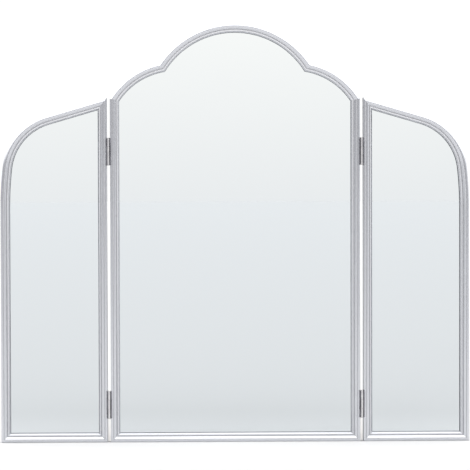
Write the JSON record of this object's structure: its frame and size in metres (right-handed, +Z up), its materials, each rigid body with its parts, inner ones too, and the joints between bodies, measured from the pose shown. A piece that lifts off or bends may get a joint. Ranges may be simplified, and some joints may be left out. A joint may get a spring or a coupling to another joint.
{
  "type": "trifold vanity mirror",
  "caption": "Free-standing vanity mirror with a scalloped, arched centre panel and two narrower hinged wings in slim beaded silver frames.",
  "frame": {"origin": "middle of the footprint, on the surface that the mirror stands on, with both wings open flat", "axes": "+X across the mirror to the viewer's right, +Y from the mirrors towards the back, +Z up"},
  "size_m": [0.6528, 0.021, 0.583],
  "materials": {
    "silver_moulding": "satin silver, beaded hollow moulding",
    "mirror_glass": "silvered float glass, flat polished",
    "foam": "white foam interleaf sheet",
    "hardboard": "brown hardboard, smooth side out",
    "tab_steel": "bare zinc-plated strip",
    "hinge_metal": "bright plated butt hinge",
    "pin_steel": "bright drawn wire"
  },
  "bodies": {
    "center_panel": {"center_bottom_rail": "silver_moulding", "center_left_stile": "silver_moulding", "center_right_stile": "silver_moulding", "center_scalloped_top": "silver_moulding", "center_mirror_glass": "mirror_glass", "center_foam_sheet": "foam", "center_backing_board": "hardboard", "center_backing_tabs": "tab_steel", "left_upper_fixed_leaf": "hinge_metal", "left_upper_hinge_pin": "pin_steel", "left_lower_fixed_leaf": "hinge_metal", "left_lower_hinge_pin": "pin_steel", "right_upper_fixed_leaf": "hinge_metal", "right_upper_hinge_pin": "pin_steel", "right_lower_fixed_leaf": "hinge_metal", "right_lower_hinge_pin": "pin_steel"},
    "left_wing": {"left_wing_bottom_rail": "silver_moulding", "left_wing_hinge_stile": "silver_moulding", "left_wing_bow": "silver_moulding", "left_wing_mirror_glass": "mirror_glass", "left_wing_foam_sheet": "foam", "left_wing_backing_board": "hardboard", "left_wing_backing_tabs": "tab_steel", "left_upper_moving_leaf": "hinge_metal", "left_lower_moving_leaf": "hinge_metal"},
    "right_wing": {"right_wing_bottom_rail": "silver_moulding", "right_wing_hinge_stile": "silver_moulding", "right_wing_bow": "silver_moulding", "right_wing_mirror_glass": "mirror_glass", "right_wing_foam_sheet": "foam", "right_wing_backing_board": "hardboard", "right_wing_backing_tabs": "tab_steel", "right_upper_moving_leaf": "hinge_metal", "right_lower_moving_leaf": "hinge_metal"}
  },
  "joints": [
    {"name": "left_wing_hinge", "type": "hinge", "parent": "center_panel", "child": "left_wing", "pos_m": [-0.1762, -0.008, 0.22875], "axis": [0, 0, 1], "range_deg": [-5, 180]},
    {"name": "right_wing_hinge", "type": "hinge", "parent": "center_panel", "child": "right_wing", "pos_m": [0.1762, -0.008, 0.22875], "axis": [0, 0, -1], "range_deg": [-5, 180]}
  ]
}
